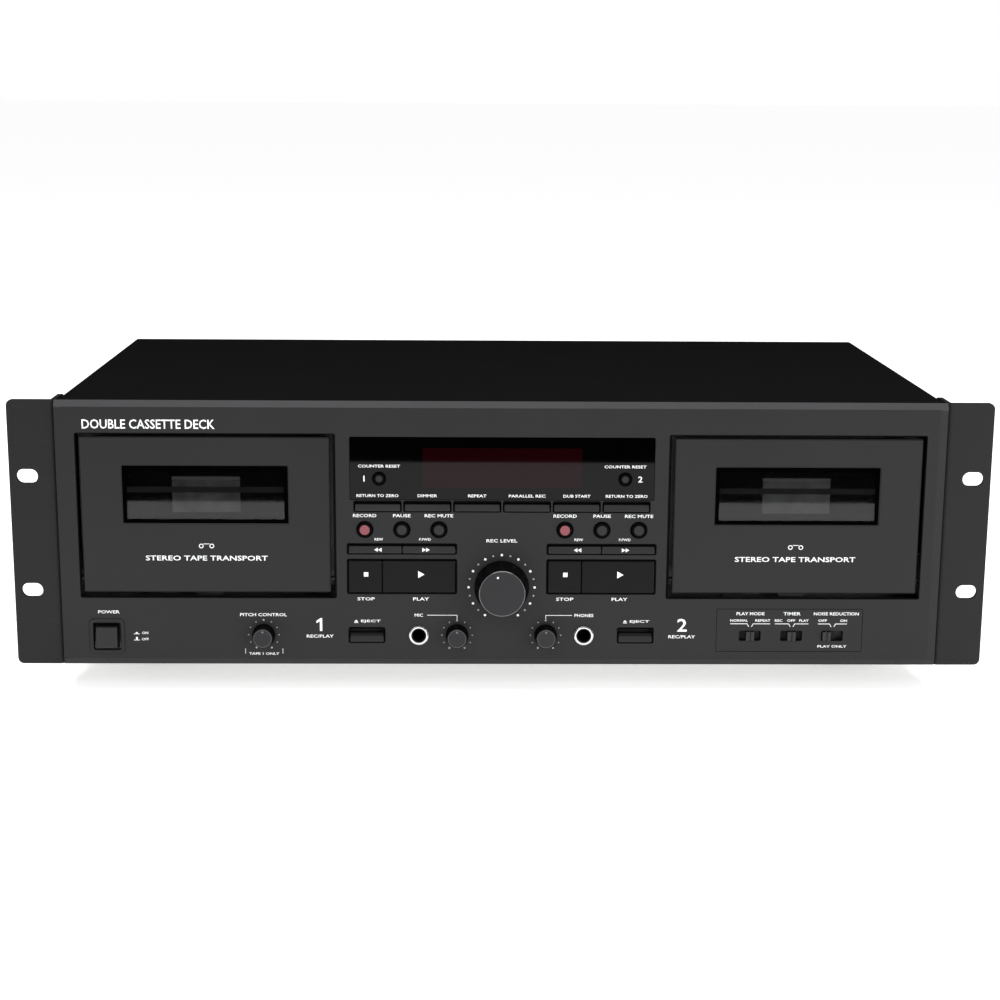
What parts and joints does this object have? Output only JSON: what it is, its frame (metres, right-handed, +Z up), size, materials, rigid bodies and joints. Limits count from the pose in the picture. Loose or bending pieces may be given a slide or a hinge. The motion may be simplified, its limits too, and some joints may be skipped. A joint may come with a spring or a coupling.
{
  "type": "cassette deck",
  "caption": "Rack-mount twin cassette deck: dark grey case, windowed flip-down doors, display, transport keys, level knobs, sockets and slotted ears.",
  "frame": {"origin": "on the surface the deck stands on, under the middle of its overall box", "axes": "+X to the deck's right as seen from the front, +Y from the front panel to the rear, +Z up"},
  "size_m": [0.4826, 0.286, 0.145],
  "materials": {
    "panel_paint": "fine satin dark grey paint on an aluminium panel",
    "door_plastic": "satin dark grey to match the panel",
    "display_acrylic": "polished black window with a red filter",
    "cover_paint": "satin black powder coat",
    "ear_paint": "satin dark grey paint",
    "rear_paint": "satin black paint",
    "plated_steel": "zinc-plated sheet",
    "foot_rubber": "black moulded rubber",
    "screw_black": "black oxide",
    "socket_nickel": "bright nickel",
    "inlet_plastic": "black moulded plastic",
    "mechanism_steel": "pressed steel",
    "flywheel_metal": "turned",
    "transformer_iron": "varnished laminations",
    "board_laminate": "phenolic laminate",
    "key_plastic": "satin dark grey",
    "play_key_plastic": "satin darker grey",
    "record_key_plastic": "satin dull red",
    "power_key_plastic": "satin dark grey",
    "knob_plastic": "satin dark grey",
    "slider_plastic": "black",
    "smoked_window": "smoked clear plastic",
    "holder_metal": "black painted sheet",
    "spindle_plastic": "white acetal"
  },
  "bodies": {
    "case": {"front_panel": "panel_paint", "display_window": "display_acrylic", "top_cover": "cover_paint", "chassis_tray": "plated_steel", "rear_panel": "rear_paint", "rack_ears": "ear_paint", "feet": "foot_rubber", "case_screws": "screw_black", "front_jacks": "socket_nickel", "phono_jacks": "socket_nickel", "mains_inlet": "inlet_plastic", "mechanism_frames": "mechanism_steel", "power_transformer": "transformer_iron", "circuit_boards": "board_laminate"},
    "rewind_button_1": {"rewind_button_1": "key_plastic"},
    "fast_forward_button_1": {"fast_forward_button_1": "key_plastic"},
    "stop_button_1": {"stop_button_1": "play_key_plastic"},
    "play_button_1": {"play_button_1": "play_key_plastic"},
    "record_button_1": {"record_button_1": "record_key_plastic"},
    "pause_button_1": {"pause_button_1": "key_plastic"},
    "record_mute_button_1": {"record_mute_button_1": "key_plastic"},
    "counter_reset_button_1": {"counter_reset_button_1": "key_plastic"},
    "eject_button_1": {"eject_button_1": "key_plastic"},
    "rewind_button_2": {"rewind_button_2": "key_plastic"},
    "fast_forward_button_2": {"fast_forward_button_2": "key_plastic"},
    "stop_button_2": {"stop_button_2": "play_key_plastic"},
    "play_button_2": {"play_button_2": "play_key_plastic"},
    "record_button_2": {"record_button_2": "record_key_plastic"},
    "pause_button_2": {"pause_button_2": "key_plastic"},
    "record_mute_button_2": {"record_mute_button_2": "key_plastic"},
    "counter_reset_button_2": {"counter_reset_button_2": "key_plastic"},
    "eject_button_2": {"eject_button_2": "key_plastic"},
    "return_to_zero_button_1": {"return_to_zero_button_1": "key_plastic"},
    "dimmer_button": {"dimmer_button": "key_plastic"},
    "repeat_button": {"repeat_button": "key_plastic"},
    "parallel_record_button": {"parallel_record_button": "key_plastic"},
    "dub_start_button": {"dub_start_button": "key_plastic"},
    "return_to_zero_button_2": {"return_to_zero_button_2": "key_plastic"},
    "power_button": {"power_button": "power_key_plastic"},
    "record_level_knob": {"record_level_knob": "knob_plastic"},
    "pitch_knob": {"pitch_knob": "knob_plastic"},
    "mic_knob": {"mic_knob": "knob_plastic"},
    "phones_knob": {"phones_knob": "knob_plastic"},
    "play_mode_switch": {"play_mode_switch": "slider_plastic"},
    "timer_switch": {"timer_switch": "slider_plastic"},
    "noise_reduction_switch": {"noise_reduction_switch": "slider_plastic"},
    "door_1": {"cassette_door_1": "door_plastic", "door_window_1": "smoked_window", "cassette_holder_1": "holder_metal"},
    "supply_spindle_1": {"supply_spindle_1": "spindle_plastic"},
    "takeup_spindle_1": {"takeup_spindle_1": "spindle_plastic"},
    "capstan_flywheel_1": {"capstan_flywheel_1": "flywheel_metal"},
    "head_carriage_1": {"head_carriage_1": "mechanism_steel"},
    "door_2": {"cassette_door_2": "door_plastic", "door_window_2": "smoked_window", "cassette_holder_2": "holder_metal"},
    "supply_spindle_2": {"supply_spindle_2": "spindle_plastic"},
    "takeup_spindle_2": {"takeup_spindle_2": "spindle_plastic"},
    "capstan_flywheel_2": {"capstan_flywheel_2": "flywheel_metal"},
    "head_carriage_2": {"head_carriage_2": "mechanism_steel"}
  },
  "joints": [
    {"name": "rewind_1_press", "type": "slide", "parent": "case", "child": "rewind_button_1", "axis": [0, 1, 0], "range_m": [0, 0.0012], "stiffness_N_per_m": 300},
    {"name": "fast_forward_1_press", "type": "slide", "parent": "case", "child": "fast_forward_button_1", "axis": [0, 1, 0], "range_m": [0, 0.0012], "stiffness_N_per_m": 300},
    {"name": "stop_1_press", "type": "slide", "parent": "case", "child": "stop_button_1", "axis": [0, 1, 0], "range_m": [0, 0.0015], "stiffness_N_per_m": 300},
    {"name": "play_1_press", "type": "slide", "parent": "case", "child": "play_button_1", "axis": [0, 1, 0], "range_m": [0, 0.0015], "stiffness_N_per_m": 300},
    {"name": "record_1_press", "type": "slide", "parent": "case", "child": "record_button_1", "axis": [0, 1, 0], "range_m": [0, 0.0015], "stiffness_N_per_m": 300},
    {"name": "pause_1_press", "type": "slide", "parent": "case", "child": "pause_button_1", "axis": [0, 1, 0], "range_m": [0, 0.0015], "stiffness_N_per_m": 300},
    {"name": "record_mute_1_press", "type": "slide", "parent": "case", "child": "record_mute_button_1", "axis": [0, 1, 0], "range_m": [0, 0.0015], "stiffness_N_per_m": 300},
    {"name": "counter_reset_1_press", "type": "slide", "parent": "case", "child": "counter_reset_button_1", "axis": [0, 1, 0], "range_m": [0, 0.0008], "stiffness_N_per_m": 300},
    {"name": "eject_1_press", "type": "slide", "parent": "case", "child": "eject_button_1", "axis": [0, 1, 0], "range_m": [0, 0.004], "stiffness_N_per_m": 200},
    {"name": "rewind_2_press", "type": "slide", "parent": "case", "child": "rewind_button_2", "axis": [0, 1, 0], "range_m": [0, 0.0012], "stiffness_N_per_m": 300},
    {"name": "fast_forward_2_press", "type": "slide", "parent": "case", "child": "fast_forward_button_2", "axis": [0, 1, 0], "range_m": [0, 0.0012], "stiffness_N_per_m": 300},
    {"name": "stop_2_press", "type": "slide", "parent": "case", "child": "stop_button_2", "axis": [0, 1, 0], "range_m": [0, 0.0015], "stiffness_N_per_m": 300},
    {"name": "play_2_press", "type": "slide", "parent": "case", "child": "play_button_2", "axis": [0, 1, 0], "range_m": [0, 0.0015], "stiffness_N_per_m": 300},
    {"name": "record_2_press", "type": "slide", "parent": "case", "child": "record_button_2", "axis": [0, 1, 0], "range_m": [0, 0.0015], "stiffness_N_per_m": 300},
    {"name": "pause_2_press", "type": "slide", "parent": "case", "child": "pause_button_2", "axis": [0, 1, 0], "range_m": [0, 0.0015], "stiffness_N_per_m": 300},
    {"name": "record_mute_2_press", "type": "slide", "parent": "case", "child": "record_mute_button_2", "axis": [0, 1, 0], "range_m": [0, 0.0015], "stiffness_N_per_m": 300},
    {"name": "counter_reset_2_press", "type": "slide", "parent": "case", "child": "counter_reset_button_2", "axis": [0, 1, 0], "range_m": [0, 0.0008], "stiffness_N_per_m": 300},
    {"name": "eject_2_press", "type": "slide", "parent": "case", "child": "eject_button_2", "axis": [0, 1, 0], "range_m": [0, 0.004], "stiffness_N_per_m": 200},
    {"name": "return_to_zero_1_press", "type": "slide", "parent": "case", "child": "return_to_zero_button_1", "axis": [0, 1, 0], "range_m": [0, 0.001], "stiffness_N_per_m": 300},
    {"name": "dimmer_press", "type": "slide", "parent": "case", "child": "dimmer_button", "axis": [0, 1, 0], "range_m": [0, 0.001], "stiffness_N_per_m": 300},
    {"name": "repeat_press", "type": "slide", "parent": "case", "child": "repeat_button", "axis": [0, 1, 0], "range_m": [0, 0.001], "stiffness_N_per_m": 300},
    {"name": "parallel_record_press", "type": "slide", "parent": "case", "child": "parallel_record_button", "axis": [0, 1, 0], "range_m": [0, 0.001], "stiffness_N_per_m": 300},
    {"name": "dub_start_press", "type": "slide", "parent": "case", "child": "dub_start_button", "axis": [0, 1, 0], "range_m": [0, 0.001], "stiffness_N_per_m": 300},
    {"name": "return_to_zero_2_press", "type": "slide", "parent": "case", "child": "return_to_zero_button_2", "axis": [0, 1, 0], "range_m": [0, 0.001], "stiffness_N_per_m": 300},
    {"name": "power_press", "type": "slide", "parent": "case", "child": "power_button", "axis": [0, 1, 0], "range_m": [0, 0.0035], "stiffness_N_per_m": 200},
    {"name": "record_level_knob_turn", "type": "hinge", "parent": "case", "child": "record_level_knob", "pos_m": [0, -0.1285, 0.0526], "axis": [0, 1, 0], "range_deg": [-135, 165]},
    {"name": "pitch_knob_turn", "type": "hinge", "parent": "case", "child": "pitch_knob", "pos_m": [-0.1183, -0.1285, 0.0281], "axis": [0, 1, 0], "range_deg": [-150, 150]},
    {"name": "mic_knob_turn", "type": "hinge", "parent": "case", "child": "mic_knob", "pos_m": [-0.0221, -0.1285, 0.0281], "axis": [0, 1, 0], "range_deg": [-150, 150]},
    {"name": "phones_knob_turn", "type": "hinge", "parent": "case", "child": "phones_knob", "pos_m": [0.0221, -0.1285, 0.0281], "axis": [0, 1, 0], "range_deg": [-150, 150]},
    {"name": "play_mode_switch_slide", "type": "slide", "parent": "case", "child": "play_mode_switch", "axis": [1, 0, 0], "range_m": [-0.0029, 0.0029]},
    {"name": "timer_switch_slide", "type": "slide", "parent": "case", "child": "timer_switch", "axis": [1, 0, 0], "range_m": [-0.0029, 0.0029]},
    {"name": "noise_reduction_switch_slide", "type": "slide", "parent": "case", "child": "noise_reduction_switch", "axis": [1, 0, 0], "range_m": [0, 0.0058]},
    {"name": "door_1_open", "type": "hinge", "parent": "case", "child": "door_1", "pos_m": [-0.1456, -0.1225, 0.0555], "axis": [1, 0, 0], "range_deg": [0, 28]},
    {"name": "supply_spindle_1_spin", "type": "hinge", "parent": "case", "child": "supply_spindle_1", "pos_m": [-0.16685, -0.1135, 0.0945], "axis": [0, 1, 0], "continuous": true},
    {"name": "takeup_spindle_1_spin", "type": "hinge", "parent": "case", "child": "takeup_spindle_1", "pos_m": [-0.12435, -0.1135, 0.0945], "axis": [0, 1, 0], "continuous": true},
    {"name": "capstan_1_spin", "type": "hinge", "parent": "case", "child": "capstan_flywheel_1", "pos_m": [-0.1196, -0.0925, 0.06775], "axis": [0, 1, 0], "continuous": true},
    {"name": "head_carriage_1_lift", "type": "slide", "parent": "case", "child": "head_carriage_1", "axis": [0, 0, 1], "range_m": [0, 0.0062]},
    {"name": "door_2_open", "type": "hinge", "parent": "case", "child": "door_2", "pos_m": [0.1456, -0.1225, 0.0555], "axis": [1, 0, 0], "range_deg": [0, 28]},
    {"name": "supply_spindle_2_spin", "type": "hinge", "parent": "case", "child": "supply_spindle_2", "pos_m": [0.12435, -0.1135, 0.0945], "axis": [0, 1, 0], "continuous": true},
    {"name": "takeup_spindle_2_spin", "type": "hinge", "parent": "case", "child": "takeup_spindle_2", "pos_m": [0.16685, -0.1135, 0.0945], "axis": [0, 1, 0], "continuous": true},
    {"name": "capstan_2_spin", "type": "hinge", "parent": "case", "child": "capstan_flywheel_2", "pos_m": [0.1716, -0.0925, 0.06775], "axis": [0, 1, 0], "continuous": true},
    {"name": "head_carriage_2_lift", "type": "slide", "parent": "case", "child": "head_carriage_2", "axis": [0, 0, 1], "range_m": [0, 0.0062]}
  ]
}
